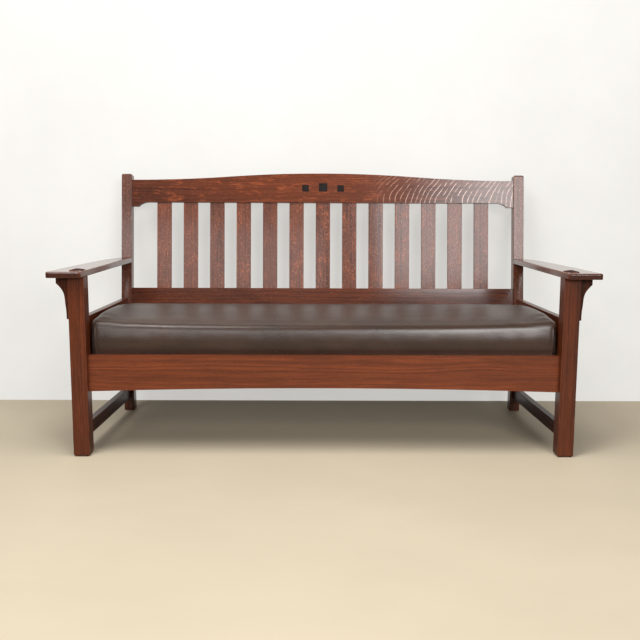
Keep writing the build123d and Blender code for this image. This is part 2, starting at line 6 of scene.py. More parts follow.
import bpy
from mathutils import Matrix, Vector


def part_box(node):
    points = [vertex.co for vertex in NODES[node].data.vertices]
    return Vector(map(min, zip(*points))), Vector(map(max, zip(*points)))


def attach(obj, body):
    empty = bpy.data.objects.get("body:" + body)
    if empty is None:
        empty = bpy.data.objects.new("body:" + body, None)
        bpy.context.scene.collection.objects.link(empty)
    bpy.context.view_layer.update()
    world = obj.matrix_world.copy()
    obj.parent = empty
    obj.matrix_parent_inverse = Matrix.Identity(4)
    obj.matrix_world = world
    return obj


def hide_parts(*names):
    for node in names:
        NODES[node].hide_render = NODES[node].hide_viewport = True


bl_info = {
    "name": "Mission settle",
    "version": (1, 0, 0),
    "blender": (4, 5, 0),
    "location": "View3D > Sidebar > Settle",
    "description": "Builds the oak boards, inlays, webbing and leather cushion of a mission settle",
    "category": "Object",
}

from contextlib import contextmanager
from functools import cache
from math import cos, pi, radians, sin

import bmesh
import bpy
import numpy as np
from bpy.props import FloatProperty, FloatVectorProperty, IntProperty, PointerProperty
from mathutils import Matrix, Vector

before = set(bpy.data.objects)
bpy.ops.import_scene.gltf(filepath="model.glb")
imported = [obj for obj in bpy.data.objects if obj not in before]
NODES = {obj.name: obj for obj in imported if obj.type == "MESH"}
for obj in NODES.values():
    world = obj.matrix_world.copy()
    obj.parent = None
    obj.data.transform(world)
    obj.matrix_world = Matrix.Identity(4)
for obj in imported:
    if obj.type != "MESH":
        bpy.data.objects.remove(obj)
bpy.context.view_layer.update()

YARN_UV = "yarns"
# Heights between which the leather turns from its glossy front to its duller top
LEATHER_TOP = (0.404, 0.420)


class SettleOak(bpy.types.PropertyGroup):
    """Stain and easing of the oak."""

    dark: FloatVectorProperty(
        name="Dark stain", description="Stain in the pores and the late wood",
        subtype="COLOR", min=0, max=1, default=(0.038, 0.0088, 0.0036),
    )
    mid: FloatVectorProperty(
        name="Stain", description="Main colour of the stained oak",
        subtype="COLOR", min=0, max=1, default=(0.118, 0.0260, 0.0078),
    )
    light: FloatVectorProperty(
        name="Light stain", description="Stain over the early wood",
        subtype="COLOR", min=0, max=1, default=(0.255, 0.0570, 0.0165),
    )
    flake: FloatVectorProperty(
        name="Ray flake", description="Colour of the ray flake of quartered boards",
        subtype="COLOR", min=0, max=1, default=(0.44, 0.20, 0.115),
    )
    easing: FloatProperty(
        name="Edge easing", description="Radius sanded on each edge of a board",
        unit="LENGTH", min=0.0002, max=0.003, default=0.0015,
    )


class SettleInlay(bpy.types.PropertyGroup):
    """Ebonised inlays."""

    colour: FloatVectorProperty(
        name="Ebonised wood", description="Colour of the square inlays",
        subtype="COLOR", min=0, max=1, default=(0.013, 0.009, 0.008),
    )
    easing: FloatProperty(
        name="Inlay easing", description="Radius on the edges of an inlay",
        unit="LENGTH", min=0.0001, max=0.001, default=0.0004,
    )


class SettleLeather(bpy.types.PropertyGroup):
    """Leather and stuffing of the cushion."""

    colour: FloatVectorProperty(
        name="Leather", description="Main colour of the leather",
        subtype="COLOR", min=0, max=1, default=(0.052, 0.028, 0.018),
    )
    # Its colour paints the shade in the hollows of the grain, and darker still in the corner folds
    crease_shade: FloatVectorProperty(
        name="Crease", description="Colour in the creases of the leather",
        subtype="COLOR", min=0, max=1, default=(0.020, 0.011, 0.008),
    )
    swell: FloatProperty(
        name="Swelling up", description="Farthest that the top of the cover swells up",
        unit="LENGTH", min=0, max=0.03, default=0.0055,
    )
    front_swell: FloatProperty(
        name="Swelling at the rail", description="Farthest that the cover swells against the front rail",
        unit="LENGTH", min=0, max=0.01, default=0.001,
    )
    side_swell: FloatProperty(
        name="Swelling at the ends", description="Farthest that the cover swells towards the side and back rails",
        unit="LENGTH", min=0, max=0.01, default=0.003,
    )
    bulge: FloatProperty(
        name="Front bulge", description="How far the front stands out over the front rail at least",
        unit="LENGTH", min=0, max=0.02, default=0.009,
    )
    shoulder: FloatProperty(
        name="Shoulder", description="How much fuller the cover stands along its top seams",
        unit="LENGTH", min=0, max=0.015, default=0.008,
    )
    fold: FloatProperty(
        name="Corner fold", description="Depth of the fold at each corner",
        unit="LENGTH", min=0, max=0.006, default=0.004,
    )
    pressure: FloatProperty(
        name="Filling pressure", description="Pressure of the stuffing on the cover",
        min=0, max=20, default=4,
    )
    voxel: FloatProperty(
        name="Mesh size", description="Size of the cover's mesh before it is divided",
        unit="LENGTH", min=0.004, max=0.02, default=0.009,
    )


class SettleWebbing(bpy.types.PropertyGroup):
    """Jute webbing under the cushion."""

    colour: FloatVectorProperty(
        name="Jute", description="Colour of the webbing yarn",
        subtype="COLOR", min=0, max=1, default=(0.50, 0.39, 0.25),
    )
    long_straps: IntProperty(
        name="Long straps", description="Straps that run along the seat", min=2, max=9, default=5,
    )
    cross_straps: IntProperty(
        name="Cross straps", description="Straps that run from front to back", min=2, max=25, default=15,
    )
    width: FloatProperty(
        name="Strap width", description="Width of one strap",
        unit="LENGTH", min=0.02, max=0.08, default=0.050,
    )


class SettleStage(bpy.types.PropertyGroup):
    """Floor, wall and lamps."""

    floor: FloatVectorProperty(
        name="Floor", description="Colour of the floor",
        subtype="COLOR", min=0, max=1, default=(0.62, 0.53, 0.39),
    )
    wall: FloatVectorProperty(
        name="Wall", description="Colour of the wall behind the settle",
        subtype="COLOR", min=0, max=1, default=(0.885, 0.872, 0.835),
    )
    lamp_power: FloatProperty(
        name="Lamp power", description="Power that the shares of the soft lamps divide",
        unit="POWER", min=0, max=1000, default=100,
    )
    world: FloatProperty(
        name="World strength", description="Strength of the even light all round",
        min=0, max=3, default=0.14,
    )


# Node helpers

def words(label):
    """A keyword or node name in words: ring_spacing gives Ring spacing."""
    return label.replace("_", " ").capitalize()


def tinted(colour, factor):
    """A colour times a factor, kept within 1."""
    return tuple(min(channel * factor, 1.0) for channel in colour)


class Nodes:
    """Adds nodes to one shader tree. A source is an output socket or a plain value."""

    def __init__(self, tree):
        self.tree = tree

    def feed(self, source, target):
        """Links an output socket, or sets a plain value, on an input socket."""
        if isinstance(source, bpy.types.NodeSocket):
            self.tree.links.new(source, target)
        else:
            target.default_value = source

    def fill(self, node, sources):
        """Feeds several inputs of a node, by name or place."""
        for place, source in sources.items():
            self.feed(source, node.inputs[place])

    def add(self, kind, sources=None, **settings):
        """Adds a shader node, sets its properties, feeds its inputs and returns it."""
        made = self.tree.nodes.new(f"ShaderNode{kind}")
        for name, value in settings.items():
            setattr(made, name, value)
        self.fill(made, sources or {})
        return made

    def math(self, operation, *sources, clamp=False):
        """One Math node on up to three sources; returns its output."""
        return self.add("Math", dict(enumerate(sources)), operation=operation, use_clamp=clamp).outputs[0]

    def times(self, first, second):
        """The product of two sources."""
        return self.math("MULTIPLY", first, second)

    def vector(self, operation, first, second):
        """One Vector Math node on two vectors, or on a vector and the number to scale it by."""
        place = "Scale" if operation == "SCALE" else 1
        return self.add("VectorMath", {0: first, place: second}, operation=operation).outputs[0]

    def ramp(self, value, low, high, to_low=0.0, to_high=1.0):
        """Smooth step of a value from low to high."""
        sources = {"Value": value, "From Min": low, "From Max": high, "To Min": to_low, "To Max": to_high}
        return self.add("MapRange", sources, interpolation_type="SMOOTHSTEP").outputs["Result"]

    def blend(self, share, first, second):
        """Mixes two colours by a share; returns the colour socket."""
        pair = [colour if isinstance(colour, bpy.types.NodeSocket) else (*colour, 1.0) for colour in (first, second)]
        return self.add("Mix", {0: share, 6: pair[0], 7: pair[1]}, data_type="RGBA").outputs[2]

    def noise(self, vector, scale=None, detail=2.0, roughness=0.5, distortion=0.0):
        """Noise on a vector, times a scale along each axis where one is given; returns its value."""
        if scale:
            vector = self.vector("MULTIPLY", vector, scale)
        sources = {"Vector": vector, "Scale": 1.0, "Detail": detail, "Roughness": roughness, "Distortion": distortion}
        return self.add("TexNoise", sources).outputs["Fac"]

    def place(self):
        """Object coordinates."""
        return self.add("TexCoord").outputs["Object"]

    def parts(self, vector):
        """The X, Y and Z of a vector, by name."""
        return self.add("SeparateXYZ", {0: vector}).outputs

    def attribute(self, name):
        """A mesh attribute as a number."""
        return self.add("Attribute", attribute_name=name).outputs["Fac"]

    def group(self, group, vector, **values):
        """Places a node group, feeds its vector and its other inputs, and returns its outputs."""
        sources = {words(label): value for label, value in values.items()}
        return self.add("Group", {"Vector": vector, **sources}, node_tree=group).outputs

    def bump(self, shader, height, strength, distance):
        """Gives a shader a bumped normal."""
        made = self.add("Bump", {"Height": height, "Strength": strength, "Distance": distance})
        self.feed(made.outputs["Normal"], shader.inputs["Normal"])


def new_group(name, outputs, **inputs):
    """A group with a vector and named numbers, and numbers as outputs; returns (nodes, inputs, output node)."""
    tree = bpy.data.node_groups.new(name, "ShaderNodeTree")
    tree.interface.new_socket("Vector", in_out="INPUT", socket_type="NodeSocketVector")
    for label, default in inputs.items():
        made = tree.interface.new_socket(words(label), in_out="INPUT", socket_type="NodeSocketFloat")
        made.default_value = default
    for label in outputs:
        tree.interface.new_socket(label, in_out="OUTPUT", socket_type="NodeSocketFloat")
    return Nodes(tree), tree.nodes.new("NodeGroupInput").outputs, tree.nodes.new("NodeGroupOutput")


@cache
def grain_group():
    """Grain of a quartered board, X along the board: growth rings, flames, fibre streaks and open pores.

    The rings are noise on the distance across the board, drifting slowly along it. The flames are noise stretched
    ten times along the board, and the pores are noise stretched some 25 times along it and cut at a level.
    """
    nodes, given, out = new_group(
        "Straight grain", ("Tone", "Pores", "Height"), ring_spacing=0.004, drift=0.012, flame=0.4,
    )
    vector = given["Vector"]
    parts = nodes.parts(vector)
    across = nodes.math("ADD", parts["Y"], nodes.times(parts["Z"], 0.7))
    wander = nodes.math("SUBTRACT", nodes.noise(vector, (1.6, 9.0, 9.0)), 0.5)
    drifted = nodes.math("ADD", across, nodes.times(wander, given["Drift"]))
    ring_place = nodes.math("DIVIDE", drifted, given["Ring spacing"])
    rings = nodes.add(
        "TexNoise", {"W": ring_place, "Scale": 1.0, "Detail": 3.0, "Roughness": 0.62}, noise_dimensions="1D",
    )
    fibre = nodes.noise(vector, (9.0, 300.0, 300.0), 4.0, 0.65)
    flames = nodes.noise(vector, (8.0, 82.0, 82.0), 4.0, 0.6, 0.5)
    cloud = nodes.noise(vector, (1.7, 8.0, 8.0))
    tone = nodes.math("MULTIPLY_ADD", rings.outputs["Fac"], 0.40, nodes.times(fibre, 0.26))
    tone = nodes.math("MULTIPLY_ADD", cloud, 0.26, tone)
    tone = nodes.math("MULTIPLY_ADD", nodes.math("SUBTRACT", flames, 0.5), given["Flame"], tone)
    pores = nodes.ramp(nodes.noise(vector, (60.0, 1400.0, 1400.0), 1.0), 0.60, 0.72)
    height = nodes.math("SUBTRACT", nodes.times(fibre, 0.35), pores)
    nodes.fill(out, {"Tone": nodes.ramp(tone, 0.16, 0.76), "Pores": pores, "Height": height})
    return nodes.tree


@cache
def flake_group():
    """Ray flake of a quartered board, X along the board and Y up its face.

    Strokes are crests of a sine of x minus bow times the square of the height over the foot, over the spacing, bent by
    noise, cut at a level and broken by more noise. Ripples are a noise ridge, one minus the distance of a stretched
    noise from its middle, cut the same way; the larger their run, the shorter they are.
    """
    nodes, given, out = new_group(
        "Ray flake", ("Strokes", "Ripples", "Flecks"),
        spacing=0.02, bow=3.0, foot=0.0, curl=0.5, ripple_scale=1.0, ripple_run=7.0,
    )
    vector = given["Vector"]
    parts = nodes.parts(vector)
    over_foot = nodes.math("ADD", parts["Y"], given["Foot"])
    bowed = nodes.times(nodes.times(over_foot, over_foot), given["Bow"])
    straight = nodes.math("DIVIDE", nodes.math("SUBTRACT", parts["X"], bowed), given["Spacing"])
    curl = nodes.times(nodes.noise(vector, (7.0, 11.0, 7.0), 1.0), given["Curl"])
    wave = nodes.math("SINE", nodes.times(nodes.math("ADD", straight, curl), 2 * pi))
    broken = nodes.noise(vector, (38.0, 26.0, 38.0), 3.0, 0.65)
    stretched = nodes.add("CombineXYZ", {
        "X": nodes.times(parts["X"], given["Ripple run"]),
        "Y": nodes.times(parts["Y"], 80.0),
        "Z": nodes.times(parts["Z"], 40.0),
    })
    rippled = nodes.noise(nodes.vector("SCALE", stretched.outputs[0], given["Ripple scale"]), distortion=0.35)
    ridge = nodes.math("ABSOLUTE", nodes.math("SUBTRACT", rippled, 0.5))
    patches = nodes.noise(vector, (15.0, 34.0, 15.0), 2.0, 0.6)
    specks = nodes.noise(vector, (150.0, 210.0, 210.0), 2.0, 0.6)
    nodes.fill(out, {
        "Strokes": nodes.times(nodes.ramp(wave, 0.80, 1.0), nodes.ramp(broken, 0.38, 0.56)),
        "Ripples": nodes.times(nodes.ramp(ridge, 0.045, 0.006), nodes.ramp(patches, 0.44, 0.60)),
        "Flecks": nodes.ramp(specks, 0.54, 0.68),
    })
    return nodes.tree


@cache
def leather_group():
    """Leather grain: pebbles are the distance to the edge of warped cells, creases a stretched noise ridge."""
    nodes, given, out = new_group("Leather grain", ("Mottle", "Height"), pebble_size=0.0016)
    vector = given["Vector"]
    fine = nodes.vector("SCALE", vector, nodes.math("DIVIDE", 1.0, given["Pebble size"]))
    warp = nodes.add("TexNoise", {"Vector": fine, "Scale": 0.35, "Detail": 2.0})
    warped = nodes.vector("ADD", fine, warp.outputs["Color"])
    cells = nodes.add("TexVoronoi", {"Vector": warped, "Scale": 1.0}, feature="DISTANCE_TO_EDGE")
    pebbles = nodes.ramp(cells.outputs["Distance"], 0.0, 0.28)
    crumpled = nodes.noise(vector, (22.0, 40.0, 40.0), 4.0, 0.6, 0.6)
    creases = nodes.ramp(nodes.math("ABSOLUTE", nodes.math("SUBTRACT", crumpled, 0.5)), 0.012, 0.0)
    nodes.fill(out, {
        "Mottle": nodes.noise(vector, (5.0, 8.0, 8.0), 4.0, 0.6),
        "Height": nodes.math("SUBTRACT", pebbles, nodes.times(creases, 0.8)),
    })
    return nodes.tree


@cache
def weave_group():
    """Plain weave on UV in yarns: warp and weft show by turns where the sum of their whole numbers is even or odd."""
    nodes, given, out = new_group("Plain weave", ("Tone", "Height"))
    parts = nodes.parts(given["Vector"])
    rows = [nodes.math("FLOOR", parts[axis]) for axis in "XY"]
    over = nodes.math("PINGPONG", nodes.math("ADD", *rows), 1.0)
    shares = [nodes.math("FRACT", parts[axis]) for axis in "XY"]
    warp, weft = (nodes.math("SINE", nodes.times(share, pi)) for share in shares)
    warp_height = nodes.times(warp, nodes.math("MULTIPLY_ADD", weft, 0.5, 0.5))
    weft_height = nodes.times(weft, nodes.math("MULTIPLY_ADD", warp, 0.5, 0.5))
    warp_part = nodes.times(warp_height, over)
    weft_part = nodes.times(weft_height, nodes.math("SUBTRACT", 1.0, over))
    nodes.fill(out, {
        "Tone": nodes.noise(given["Vector"], (0.9, 0.13, 1.0), 3.0, 0.6),
        "Height": nodes.math("ADD", warp_part, weft_part),
    })
    return nodes.tree


# Materials

def new_material(name, **constants):
    """A material whose plain values are set on its Principled BSDF; returns (material, nodes, shader)."""
    material = bpy.data.materials.new(name)
    material.use_nodes = True
    nodes = Nodes(material.node_tree)
    shader = material.node_tree.nodes["Principled BSDF"]
    nodes.fill(shader, constants)
    return material, nodes, shader


def board_vector(nodes, along, centre, lean=0.0):
    """Object coordinates with X along the board, Y across its shown face and Z through it; lean follows the rake."""
    parts = nodes.parts(nodes.vector("SUBTRACT", nodes.place(), centre))
    upright = nodes.math("MULTIPLY_ADD", parts["Z"], -lean, parts["Y"])
    own = {"X": parts["X"], "Y": upright, "Z": parts["Z"]}
    order = {"X": "XZY", "Y": "YXZ", "Z": "ZXY"}[along]
    return nodes.add("CombineXYZ", {axis: own[source] for source, axis in zip(order, "XYZ")}).outputs[0]


def oak_material(name, oak, along, centre, seed, figure):
    """Stained quartered oak for one board: its own stretch of grain, tone and flake, and on the crest a painted pool of
    light.
    """
    figure = {**PLAIN_FIGURE, **figure}
    material, nodes, shader = new_material(name, **{"Coat Roughness": 0.12, "Specular IOR Level": figure["gloss"]})
    vector = board_vector(nodes, along, centre, figure["lean"])
    parts = nodes.parts(vector)
    shifted = nodes.vector("ADD", vector, (seed * 3.7, seed * 1.3, seed * 2.1))
    grain = nodes.group(
        grain_group(), shifted, ring_spacing=figure["rings"], drift=figure["drift"], flame=figure["flame"],
    )
    shape = {label: figure[label] for label in ("spacing", "bow", "foot", "curl", "ripple_scale", "ripple_run")}
    flake = nodes.group(flake_group(), vector if figure["placed_and_lit"] else shifted, **shape)
    tone = nodes.math("MULTIPLY_ADD", grain["Tone"], figure["contrast"], figure["tone"])
    strokes, ripples, flecks = (
        nodes.times(flake[words(label)], figure[label]) for label in ("strokes", "ripples", "flecks")
    )
    if figure["placed_and_lit"]:
        right = nodes.ramp(parts["X"], 0.17, 0.27)
        strokes = nodes.times(strokes, right)
        ripples = nodes.times(ripples, nodes.math("SUBTRACT", 1.0, right))
        # Painted light: the crest is toned lighter in its middle and darker towards both ends, where the lamps light it
        # less
        middle = nodes.ramp(nodes.math("ABSOLUTE", parts["X"]), 0.65, 0.10, -0.16, 0.14)
        tone = nodes.math("ADD", tone, middle)
    shown = nodes.math("MAXIMUM", strokes, flecks)
    colour = nodes.blend(nodes.ramp(tone, 0.0, 0.5), oak.dark, oak.mid)
    colour = nodes.blend(nodes.ramp(tone, 0.5, 1.0), colour, oak.light)
    colour = nodes.blend(ripples, colour, tinted(oak.light, 1.5))
    colour = nodes.blend(shown, colour, oak.flake)
    colour = nodes.blend(nodes.times(grain["Pores"], 0.5), colour, oak.dark)
    worn = nodes.ramp(nodes.noise(vector, (30.0, 30.0, 30.0), 3.0, 0.6), 0.42, 0.62, 0.0, 0.4)
    colour = nodes.blend(nodes.times(nodes.attribute("edge"), worn), colour, oak.light)
    end = nodes.attribute("end_grain")
    colour = nodes.blend(nodes.times(end, figure["end"]), colour, tinted(oak.dark, 0.6))
    matte = nodes.times(end, figure["matte"])
    rough = nodes.ramp(grain["Tone"], 0.0, 1.0, 0.42, 0.32)
    rough = nodes.math("ADD", rough, nodes.times(shown, -0.06))
    rough = nodes.math("MULTIPLY_ADD", matte, 0.4, rough)
    coat = figure["coat"]
    if figure["matte"]:
        coat = nodes.math("SUBTRACT", coat, matte, clamp=True)
    elif figure["coat_right"] is not None:
        rising = nodes.ramp(parts["X"], figure["gloss_from"], 0.70)
        base = nodes.math("MULTIPLY_ADD", rising, figure["coat_right"] - coat, coat)
        sheen = nodes.times(strokes, nodes.ramp(parts["X"], 0.24, 0.50, 0.1, 0.8))
        coat = nodes.math("ADD", base, sheen, clamp=True)
    nodes.fill(shader, {"Base Color": colour, "Roughness": rough, "Coat Weight": coat})
    nodes.bump(shader, grain["Height"], 0.35, 0.0002)
    return material


def plain_wood_material(name, along, centre, seed):
    """Pale unfinished wood of the hidden frame: the same grain, faint, with no flake."""
    material, nodes, shader = new_material(name, **{"Specular IOR Level": 0.3})
    shifted = nodes.vector("ADD", board_vector(nodes, along, centre), (seed * 2.3, seed * 1.9, seed * 0.7))
    grain = nodes.group(grain_group(), shifted, ring_spacing=0.009, drift=0.03, flame=0.3)
    colour = nodes.blend(grain["Tone"], (0.36, 0.235, 0.13), (0.52, 0.37, 0.225))
    colour = nodes.blend(nodes.times(grain["Pores"], 0.3), colour, (0.22, 0.13, 0.07))
    nodes.fill(shader, {"Base Color": colour, "Roughness": nodes.ramp(grain["Tone"], 0.0, 1.0, 0.76, 0.64)})
    nodes.bump(shader, grain["Height"], 0.4, 0.0003)
    return material


def inlay_material(colour):
    """Ebonised wood: nearly black, with upright grain that shows in the sheen."""
    material, nodes, shader = new_material("Ebonised wood", **{"Specular IOR Level": 0.08})
    vector = board_vector(nodes, "Z", (0.0, 0.0, 0.0))
    grain = nodes.group(grain_group(), vector, ring_spacing=0.002, drift=0.004, flame=0.1)
    nodes.fill(shader, {
        "Base Color": nodes.blend(grain["Tone"], tinted(colour, 0.6), tinted(colour, 1.7)),
        "Roughness": nodes.ramp(grain["Tone"], 0.0, 1.0, 0.5, 0.36),
    })
    nodes.bump(shader, grain["Height"], 0.5, 0.0002)
    return material


def steel_material():
    """Plain zinc-grey screw steel with fine turning marks and dull patches."""
    material, nodes, shader = new_material("Screw steel", Metallic=1.0)
    place = nodes.place()
    patches = nodes.noise(place, (300.0, 300.0, 300.0), 3.0, 0.6)
    nodes.fill(shader, {
        "Base Color": nodes.blend(patches, (0.42, 0.42, 0.43), (0.62, 0.61, 0.59)),
        "Roughness": nodes.ramp(patches, 0.3, 0.7, 0.32, 0.55),
    })
    nodes.bump(shader, nodes.noise(place, (60.0, 60.0, 4000.0)), 0.3, 0.0001)
    return material


def webbing_material(colour):
    """Jute webbing: a plain weave on the strap's own UV, which counts yarns."""
    material, nodes, shader = new_material("Jute webbing", **{"Specular IOR Level": 0.2})
    weave = nodes.group(weave_group(), nodes.add("UVMap", uv_map=YARN_UV).outputs["UV"])
    yarns = nodes.blend(weave["Tone"], tinted(colour, 0.62), tinted(colour, 1.25))
    # Painted shade: where the weave sinks at the edges of the yarns and under them, the colour darkens towards a third
    # of the jute
    nodes.fill(shader, {
        "Base Color": nodes.blend(nodes.ramp(weave["Height"], 0.0, 0.6), tinted(colour, 0.35), yarns),
        "Roughness": nodes.ramp(weave["Height"], 0.0, 1.0, 0.95, 0.8),
    })
    nodes.bump(shader, weave["Height"], 0.9, 0.0006)
    return material


def leather_material(leather):
    """Dark upholstery leather: pebbles, faint creases and slow changes of tone, painted shade in its hollows and folds,
    and duller on its top and in its folds.
    """
    material, nodes, shader = new_material("Seat leather", **{"Sheen Weight": 0.05})
    place = nodes.place()
    fold = nodes.attribute("fold")
    grain = nodes.group(leather_group(), place)
    mottled = nodes.ramp(grain["Mottle"], 0.35, 0.65)
    colour = nodes.blend(mottled, tinted(leather.colour, 0.82), tinted(leather.colour, 1.18))
    # Painted shade: the hollows of the grain are darkened halfway towards the crease colour
    sunk_shade = nodes.math("SUBTRACT", 1.0, nodes.ramp(grain["Height"], 0.0, 0.5))
    colour = nodes.blend(nodes.times(sunk_shade, 0.5), colour, leather.crease_shade)
    # Painted shade: the corner folds are darkened by their depth towards a third of the crease colour
    colour = nodes.blend(nodes.times(fold, 0.9), colour, tinted(leather.crease_shade, 0.3))
    worn_top = nodes.ramp(nodes.parts(place)["Z"], *LEATHER_TOP, 0.0, 0.13)
    duller = nodes.math("ADD", worn_top, nodes.times(fold, 0.2))
    rough = nodes.math("ADD", nodes.ramp(grain["Mottle"], 0.3, 0.7, 0.28, 0.23), duller)
    nodes.fill(shader, {"Base Color": colour, "Roughness": rough})
    nodes.bump(shader, grain["Height"], 0.12, 0.0003)
    return material


# Mesh helpers

# Distance at which points are one, angle up to which faces are one flat face, angle from which an edge is eased, and
# the part of a face's normal along the grain from which it shows end grain
WELD, FLAT_ANGLE, EASED_ANGLE, END_FACING = 1e-6, radians(0.1), radians(28), 0.8
AXES = {"X": 0, "Y": 1, "Z": 2}


@contextmanager
def edited(mesh):
    """Opens a mesh for bmesh work and writes the work back to it."""
    work = bmesh.new()
    work.from_mesh(mesh)
    yield work
    work.to_mesh(mesh)
    work.free()


def link_piece(name, mesh, material, body, replaced):
    """Puts a mesh in the scene as a piece that rides on a body and stands for CAD nodes."""
    piece = bpy.data.objects.new(name, mesh)
    bpy.context.scene.collection.objects.link(piece)
    mesh.materials.clear()
    mesh.materials.append(material)
    mesh.polygons.foreach_set("material_index", np.zeros(len(mesh.polygons), np.int32))
    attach(piece, body)
    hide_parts(*replaced)
    return piece


def eased_board(node, easing, grain_axis):
    """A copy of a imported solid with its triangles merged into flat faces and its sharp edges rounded.

    Faces of the rounding get edge 1, and faces that look along the grain get end_grain 1.
    """
    mesh = NODES[node].data.copy()
    mesh.name = f"{node}_eased"
    with edited(mesh) as work:
        bmesh.ops.remove_doubles(work, verts=work.verts, dist=WELD)
        bmesh.ops.dissolve_limit(work, angle_limit=FLAT_ANGLE, verts=work.verts, edges=work.edges)
        edge_layer = work.faces.layers.float.new("edge")
        end_layer = work.faces.layers.float.new("end_grain")
        sharp = [edge for edge in work.edges if len(edge.link_faces) == 2 and edge.calc_face_angle() > EASED_ANGLE]
        made = bmesh.ops.bevel(
            work, geom=sharp, offset=easing, offset_type="OFFSET", segments=2, profile=0.5,
            affect="EDGES", clamp_overlap=True, miter_outer="ARC",
        )
        for face in made["faces"]:
            face[edge_layer] = 1.0
        for face in work.faces:
            face.smooth = True
            if abs(face.normal[grain_axis]) > END_FACING:
                face[end_layer] = 1.0
    while mesh.uv_layers:
        mesh.uv_layers.remove(mesh.uv_layers[0])
    mesh.set_sharp_from_angle(angle=radians(50))
    return mesh


def add_board(node, ending, easing, along, material, body):
    """Puts a board's eased copy in the scene, its broad faces flat in shade and its rounded edges soft."""
    piece = link_piece(f"{node}_{ending}", eased_board(node, easing, AXES[along]), material, body, [node])
    piece.modifiers.new("Weighted normals", "WEIGHTED_NORMAL").keep_sharp = True


def centre_of(node):
    """Middle of a CAD node's box."""
    low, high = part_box(node)
    return tuple((low + high) / 2)


# Rake of the back, as run over rise
BACK_LEAN = 0.139

# Figure of a board where its own entry below says nothing else
PLAIN_FIGURE = {
    "placed_and_lit": False, "lean": 0.0, "rings": 0.006, "drift": 0.012, "flame": 0.16, "spacing": 0.02, "bow": 0.0,
    "foot": 0.0, "curl": 1.2, "ripple_scale": 1.0, "ripple_run": 7.0, "contrast": 0.9, "tone": 0.1, "strokes": 0.0,
    "ripples": 0.15, "flecks": 0.08, "end": 0.7, "matte": 0.0, "gloss": 0.25, "coat": 0.28, "coat_right": None,
    "gloss_from": 0.1,
}
# What every slat shares
SLAT_FIGURE = {"lean": BACK_LEAN, "contrast": 1.2, "ripple_scale": 1.4, "ripple_run": 42.0, "rings": 0.008}
# Sheen of the boards that hang low or in the shade
DULL = {"gloss": 0.15, "coat": 0.1}
# The front posts end in a dark matt tenon
POST_TOP = {"end": 0.9, "matte": 1.0, "flecks": 0.02}
ARM_FIGURE = {"tone": -0.04, "ripples": 0.2, "coat": 0.9}

# Ripples, flecks and tone of each slat, from left to right; their large shares of pale ripple and fleck are partly the
# slats' real ray flake and partly painted sheen of the light on them
SLAT_LOOKS = (
    (0.55, 0.40, -0.08), (0.55, 0.34, -0.06), (0.46, 0.34, -0.16), (0.70, 0.36, -0.12), (0.46, 0.30, -0.22),
    (0.85, 0.40, -0.14), (0.90, 0.42, -0.28), (0.90, 0.44, -0.18), (0.61, 0.40, -0.28), (0.85, 0.44, -0.18),
    (0.55, 0.40, -0.28), (0.55, 0.44, -0.20), (0.46, 0.40, -0.25),
)
# Direction of the grain and figure of each oak board
BOARD_FIGURES = {
    # The crest's figure is placed on the board, and its tone carries a painted pool of light in its middle
    "crest_rail": ("X", {
        "placed_and_lit": True, "lean": BACK_LEAN, "bow": 5.5, "foot": 0.055, "curl": 1.5, "strokes": 0.85, "ripples": 0.55,
        "ripple_scale": 1.3, "rings": 0.008, "drift": 0.04, "tone": -0.04, "flame": 0.2, "gloss": 0.12, "coat": 0.04,
        "coat_right": 0.6, "gloss_from": 0.26,
    }),
    "lower_back_rail": ("X", {
        "lean": BACK_LEAN, "ripples": 0.12, "tone": -0.2, "drift": 0.03, "flame": 0.2, "gloss": 0.12, "coat": 0.04,
        "coat_right": 1.0,
    }),
    "front_seat_rail": ("X", {
        "ripples": 0.06, "tone": 0.34, "contrast": 0.7, "rings": 0.009, "drift": 0.06, "flame": 0.24, "flecks": 0.04,
    }),
    "back_seat_rail": ("X", {"ripples": 0.08, "tone": 0.0, "rings": 0.007, "drift": 0.04}),
    "side_seat_rail_left": ("Y", {"tone": -0.12}),
    "side_seat_rail_right": ("Y", {"tone": -0.12}),
    # Painted shade: the stretchers are toned darker, as they hang low under the seat
    "side_stretcher_left": ("Y", {"tone": -0.4, **DULL}),
    "side_stretcher_right": ("Y", {"tone": -0.34, **DULL}),
    "front_post_left": ("Z", {"tone": -0.12, **POST_TOP}),
    "front_post_right": ("Z", {"tone": -0.08, **POST_TOP}),
    "back_post_left": ("Z", {"lean": BACK_LEAN, "tone": -0.16, "flecks": 0.4, "gloss": 0.35, "coat": 0.4}),
    "back_post_right": ("Z", {"lean": BACK_LEAN, "tone": -0.12, "flecks": 0.4, "gloss": 0.3, "coat": 0.35}),
    "arm_left": ("Y", ARM_FIGURE),
    "arm_right": ("Y", ARM_FIGURE),
    # Painted shade: the corbels are toned darker, as they hang under the arms
    "corbel_left": ("Z", {"tone": -0.38, **DULL}),
    "corbel_right": ("Z", {"tone": -0.34, **DULL}),
}
INNER_BOARDS = {
    "seat_cleat_front": ("X", "frame"),
    "seat_cleat_back": ("X", "frame"),
    "seat_bearer": ("Y", "frame"),
    "seat_frame_front": ("X", "seat"),
    "seat_frame_back": ("X", "seat"),
    "seat_frame_left": ("Y", "seat"),
    "seat_frame_center": ("Y", "seat"),
    "seat_frame_right": ("Y", "seat"),
}


